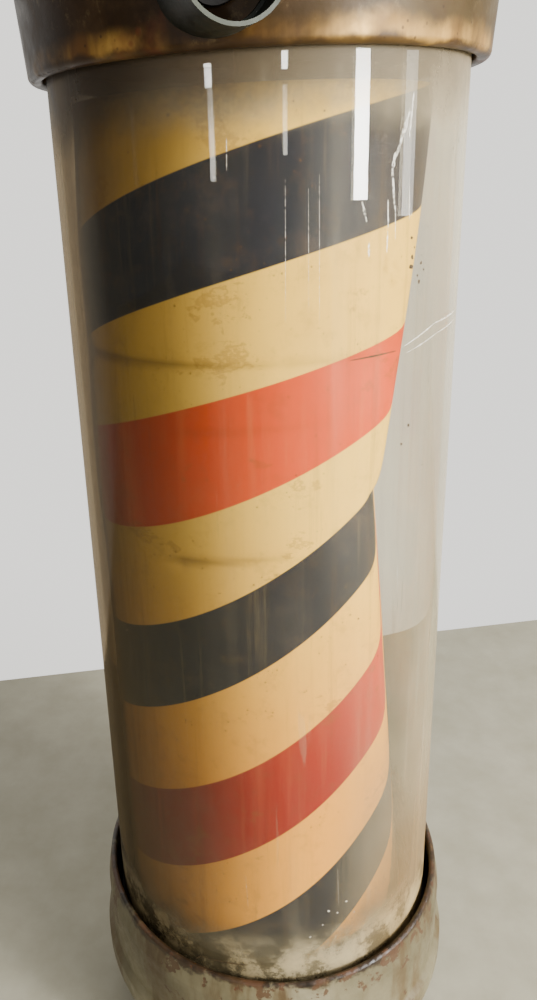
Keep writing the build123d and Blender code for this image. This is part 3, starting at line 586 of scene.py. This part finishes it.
def make_sheet(film):
    """The striped film: a fine cylinder of quads, then buckled point by point."""
    rows, columns = 200, 216
    shape = bmesh.new()
    low, high = SHEET_LOW.z, SHEET_HIGH.z
    chain = [shape.verts.new((0, SHEET_R, low + (high - low) * i / rows)) for i in range(rows + 1)]
    edges = [shape.edges.new(pair) for pair in zip(chain, chain[1:])]
    bmesh.ops.spin(
        shape, geom=chain + edges, cent=(0, 0, 0), axis=(0, 0, 1), angle=2 * math.pi,
        steps=columns, use_merge=False, use_duplicate=False,
    )
    bmesh.ops.recalc_face_normals(shape, faces=shape.faces)
    phase_layer = shape.verts.layers.float.new("stripe_phase")
    crease_layer = shape.verts.layers.float.new("crease_shade")
    left_edge_shade_layer = shape.verts.layers.float.new("left_edge_shade")
    grime_layer = shape.verts.layers.float.new("foot_grime")
    start = set(chain)
    for vert in shape.verts:
        angle = math.atan2(vert.co.x, -vert.co.y)
        if abs(angle) > math.pi - 0.001:
            angle = -math.pi if vert in start else math.pi
        deep, shade = crease_at(angle, vert.co.z)
        vert[phase_layer] = stripe_phase(angle, vert.co.z)
        vert[crease_layer] = shade
        # Painted shade along the film's left edge, from about -60 to -130 degrees, with a wavering border.
        wander = 3 * noise.noise(Vector((0, 0, vert.co.z * 25)))
        degrees = math.degrees(angle) + wander
        vert[left_edge_shade_layer] = smooth_steps(60, 66, -degrees) * smooth_steps(-130, -95, degrees)
        ragged = 0.06 * TUBE_R * noise.noise(Vector((angle * 4, 0, 5)))
        limit = 4.65 - 0.0015 * max(0.0, degrees - 20) - 0.5 * smooth_steps(50, 62, degrees)
        limit = limit * TUBE_R + ragged * (1 - smooth_steps(-10, 20, degrees))
        vert[grime_layer] = smooth_steps(limit - 0.001, limit + 0.002, drop(vert.co.z))
        wave = 0.0006 * noise.noise(Vector((math.sin(angle) * 1.6, math.cos(angle) * 1.6, vert.co.z * 14)))
        radius = sheet_radius(angle, vert.co.z) - deep + wave
        vert.co.x = radius * math.sin(angle)
        vert.co.y = -radius * math.cos(angle)
    piece = finish_piece(shape, "striped_sheet", film)
    wall = piece.modifiers.new("film_thickness", "SOLIDIFY")
    wall.thickness = FILM_T
    wall.offset = -1.0
    piece.shadow_terminator_geometry_offset = 0.3
    piece.shadow_terminator_shading_offset = 0.2
    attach(piece, "drum")
    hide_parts("stripe_sheet")


# ---- clear tube ----
def make_tube(acrylic):
    """The clear tube: its wall's outline spun round the axis, with rounded rims."""
    low, high, chamfer = TUBE_LOW.z, TUBE_HIGH.z, 0.0006
    outline = [
        (TUBE_INNER_R, low + chamfer), (TUBE_INNER_R + chamfer, low),
        (TUBE_R - chamfer, low), (TUBE_R, low + chamfer),
        (TUBE_R, high - chamfer), (TUBE_R - chamfer, high),
        (TUBE_INNER_R + chamfer, high), (TUBE_INNER_R, high - chamfer),
    ]
    shape = bmesh.new()
    loop = [shape.verts.new((0, radius, z)) for radius, z in outline]
    edges = [shape.edges.new(pair) for pair in zip(loop, loop[1:] + loop[:1])]
    bmesh.ops.spin(
        shape, geom=loop + edges, cent=(0, 0, 0), axis=(0, 0, 1), angle=2 * math.pi,
        steps=360, use_merge=True, use_duplicate=False,
    )
    bmesh.ops.remove_doubles(shape, verts=shape.verts, dist=1e-6)
    bmesh.ops.recalc_face_normals(shape, faces=shape.faces)
    piece = finish_piece(shape, "acrylic_tube", acrylic)
    sharp = piece.data.attributes.new("sharp_edge", "BOOLEAN", "EDGE")
    ends = [piece.data.vertices[v].co for edge in piece.data.edges for v in edge.vertices]
    level = [abs(a.z - b.z) < 1e-6 for a, b in zip(ends[::2], ends[1::2])]
    sharp.data.foreach_set("value", level)
    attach(piece, "root")
    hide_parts("clear_tube")


def on_tube(degrees, down):
    """A place on the tube's outside; degrees is 0 at the front, positive towards +X."""
    angle = math.radians(degrees)
    radius = TUBE_R + MARK_LIFT
    return Vector((radius * math.sin(angle), -radius * math.cos(angle), CAP_RIM_Z - down * TUBE_R))


def add_stroke(shape, start, end, width, seed, ragged=0.4, steps=18):
    """A thin raised smear on the tube between two places given as degrees and drop."""
    chance = random.Random(seed)
    lines = []
    for i in range(steps + 1):
        t = i / steps
        degrees = start[0] + (end[0] - start[0]) * t
        down = start[1] + (end[1] - start[1]) * t
        taper = max(0.04, math.sin(math.pi * min(1.0, 0.06 + 0.94 * t)) ** 0.5)
        half = width / 2 * taper * (1 + ragged * (chance.random() - 0.5) * 2)
        slant = math.atan2((end[1] - start[1]), math.radians(end[0] - start[0]) or 1e-6)
        across, along = math.sin(slant) * half, math.cos(slant) * half
        turn, rise = math.degrees(across / TUBE_R), along / TUBE_R
        pair = [on_tube(degrees - turn, down + rise), on_tube(degrees + turn, down - rise)]
        lines.append([shape.verts.new(place) for place in pair])
    for (a, b), (c, d) in zip(lines, lines[1:]):
        shape.faces.new((a, b, d, c))


def add_speck(shape, degrees, down, size, seed):
    """A small flat blob on the tube."""
    chance = random.Random(seed)
    ring = []
    for i in range(9):
        turn = 2 * math.pi * i / 9
        reach = size * (0.7 + 0.6 * chance.random()) / TUBE_R
        place = on_tube(degrees + math.degrees(reach * math.cos(turn)), down + reach * math.sin(turn))
        ring.append(shape.verts.new(place))
    shape.faces.new(ring)


# Smears as ((degrees, drop), (degrees, drop), width in millimetres), specks as (degrees, drop, size
# in millimetres). Degrees are 0 at the front, drop is below the cap's rim in tube radii.
PALE_SMEARS = [
    ((68, 1.10), (51.5, 1.11), 0.8), ((51.5, 1.11), (38, 1.18), 0.7), ((68, 1.14), (53, 1.16), 0.5),
    ((53, 1.16), (39.5, 1.21), 0.5), ((37.7, 0.22), (33.7, 0.40), 1.7), ((33.5, 0.38), (32.5, 0.47), 1.3),
    ((32.7, 0.44), (33.8, 0.60), 1.0), ((31.7, 0.56), (32.0, 0.67), 0.8), ((38.3, 0.51), (38.7, 0.65), 0.7),
    ((31.9, 0.68), (31.8, 0.77), 0.7), ((26.6, 0.72), (26.7, 0.78), 1.0), ((38.6, 0.16), (37.6, 0.33), 1.0),
    ((24.5, 0.56), (25.9, 0.64), 1.0), ((14.0, 0.45), (14.2, 1.06), 0.14), ((6.3, 0.46), (6.1, 1.02), 0.14),
    ((11.5, 0.5), (11.6, 0.98), 0.12), ((-6.4, 0.3), (-6.6, 0.42), 0.4), ((34.0, 0.58), (34.3, 0.72), 0.5),
]
DARK_SMEARS = [
    ((35.7, 1.19), (22.0, 1.20), 0.7), ((-8, 4.62), (-24, 4.66), 0.9), ((-24, 4.66), (-27, 4.72), 0.8),
]
DARK_SPECKS = [
    (39.8, 0.72, 0.7), (40.3, 0.80, 0.9), (40.0, 0.84, 1.1), (43.8, 0.83, 0.8), (43.3, 0.91, 0.9),
    (42.6, 0.88, 0.5), (45.0, 0.86, 0.5), (41.0, 0.76, 0.5), (41.5, 1.55, 0.8), (39.0, 1.63, 0.7),
]
WHITE_SPECKS = [
    (18, 4.25, 0.8), (21, 4.28, 0.6), (24, 4.22, 0.7), (16, 4.34, 0.6), (27, 4.32, 0.5), (12, 4.41, 0.6),
]


def make_marks():
    """Dried smears, scratches and specks on the tube."""
    pale, dirt = bmesh.new(), bmesh.new()
    for index, (start, end, width) in enumerate(PALE_SMEARS):
        add_stroke(pale, start, end, width / 1000, index)
    for index, (degrees, down, size) in enumerate(WHITE_SPECKS):
        add_speck(pale, degrees, down, size / 1000, index)
    for index, (start, end, width) in enumerate(DARK_SMEARS):
        add_stroke(dirt, start, end, width / 1000, index)
    for index, (degrees, down, size) in enumerate(DARK_SPECKS):
        add_speck(dirt, degrees, down, size / 1000, index)
    chance = random.Random(7)
    for index in range(90):
        degrees = chance.uniform(-175, 175)
        add_speck(dirt, degrees, chance.uniform(0.1, 4.6), chance.uniform(0.15, 0.5) / 1000, index)
    for index in range(10):
        degrees, down = chance.uniform(-175, 175), chance.uniform(0.2, 4.2)
        length = chance.uniform(0.05, 0.3)
        add_stroke(pale, (degrees, down), (degrees + 0.5, down + length), 0.0001, index)
    marks = ((pale, "pale_smears", dried_residue()), (dirt, "dirt_specks", dried_dirt()))
    for shape, name, finish in marks:
        bmesh.ops.recalc_face_normals(shape, faces=shape.faces)
        for face in shape.faces:
            middle = face.calc_center_median()
            if face.normal.dot(Vector((middle.x, middle.y, 0))) < 0:
                face.normal_flip()
        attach(finish_piece(shape, name, finish), "root")


def finish_piece(shape, name, material):
    """Turn a bmesh into a named piece with its finish."""
    mesh = bpy.data.meshes.new(name)
    shape.to_mesh(mesh)
    shape.free()
    mesh.polygons.foreach_set("use_smooth", [True] * len(mesh.polygons))
    piece = bpy.data.objects.new(name, mesh)
    bpy.context.scene.collection.objects.link(piece)
    mesh.materials.append(material)
    return piece


# ---- stage ----
def make_stage():
    """A plain pale floor."""
    shape = bmesh.new()
    corners = [(-3.2, -0.25), (3.4, 1.063), (4.2, -4.0), (-3.2, -4.0)]
    shape.faces.new([shape.verts.new((x, y, 0)) for x, y in corners])
    bmesh.ops.recalc_face_normals(shape, faces=shape.faces)
    mesh = bpy.data.meshes.new("floor")
    shape.to_mesh(mesh)
    shape.free()
    floor = bpy.data.objects.new("floor", mesh)
    bpy.context.scene.collection.objects.link(floor)
    f = Finish("pale_floor")
    speckle = f.noise(25.0, 6.0, 0.6)
    f.set(Base_Color=f.ramp(speckle, (0.3, tone(150, 145, 124)), (0.7, tone(166, 161, 141))), Roughness=0.6)
    mesh.materials.append(f.material)


def area_light(name, place, aim, size, energy, colour=(1, 1, 1), seen=True):
    """A soft rectangular light that points at a place; seen lights show in gloss."""
    data = bpy.data.lights.new(name, "AREA")
    data.shape = "RECTANGLE"
    data.size, data.size_y = size
    data.energy = energy
    data.color = colour
    light = bpy.data.objects.new(name, data)
    light.location = place
    light.rotation_euler = (Vector(aim) - Vector(place)).to_track_quat("-Z", "Y").to_euler()
    light.visible_glossy = seen
    light.visible_transmission = seen
    bpy.context.scene.collection.objects.link(light)


def make_light():
    """Pale surroundings, darker in front, with a big soft light from the right and tall thin ones."""
    world = bpy.data.worlds.new("pale_room")
    bpy.context.scene.world = world
    world.use_nodes = True
    nodes, links = world.node_tree.nodes, world.node_tree.links
    background = nodes["Background"]
    place = nodes.new("ShaderNodeTexCoord")
    split = nodes.new("ShaderNodeSeparateXYZ")
    depth = nodes.new("ShaderNodeMapRange")
    shade = nodes.new("ShaderNodeValToRGB")
    links.new(place.outputs["Generated"], split.inputs[0])
    links.new(split.outputs["Y"], depth.inputs["Value"])
    depth.inputs["From Min"].default_value = 0.1
    depth.inputs["From Max"].default_value = 0.85
    links.new(depth.outputs["Result"], shade.inputs["Fac"])
    shade.color_ramp.elements[0].color = (0.22, 0.215, 0.205, 1)
    shade.color_ramp.elements[1].color = (1.5, 1.47, 1.4, 1)
    links.new(shade.outputs["Color"], background.inputs["Color"])
    background.inputs["Strength"].default_value = 1.0
    middle = (0, 0, 0.35)
    area_light("right_window", (1.5, -1.1, 0.95), middle, (1.0, 1.6), 66, (1.0, 0.98, 0.94), seen=False)
    area_light("window_strip", (1.05, -0.79, 0.62), (0, 0, 0.57), (0.18, 0.29), 32)
    area_light("pale_strip", (1.33, -0.17, 0.62), (0, 0, 0.57), (0.19, 0.36), 3.2)
    area_light("left_lamp_high", (-0.5, -1.23, 0.70), (0, 0, 0.57), (0.08, 0.04), 1.2)
    area_light("left_lamp_low", (-0.49, -1.24, 0.60), (0, 0, 0.57), (0.06, 0.16), 0.5)
    area_light("middle_lamp_high", (0.33, -1.3, 0.72), (0, 0, 0.57), (0.07, 0.03), 1.0)
    area_light("middle_lamp_low", (0.33, -1.3, 0.62), (0, 0, 0.57), (0.05, 0.12), 0.3)
    area_light("top_soft", (0.2, -0.3, 2.2), middle, (1.4, 1.4), 12, seen=False)


set_camera()
finishes = dress_frame()
make_sheet(finishes["striped_film"])
make_tube(finishes["clear_acrylic"])
make_marks()
make_stage()
make_light()
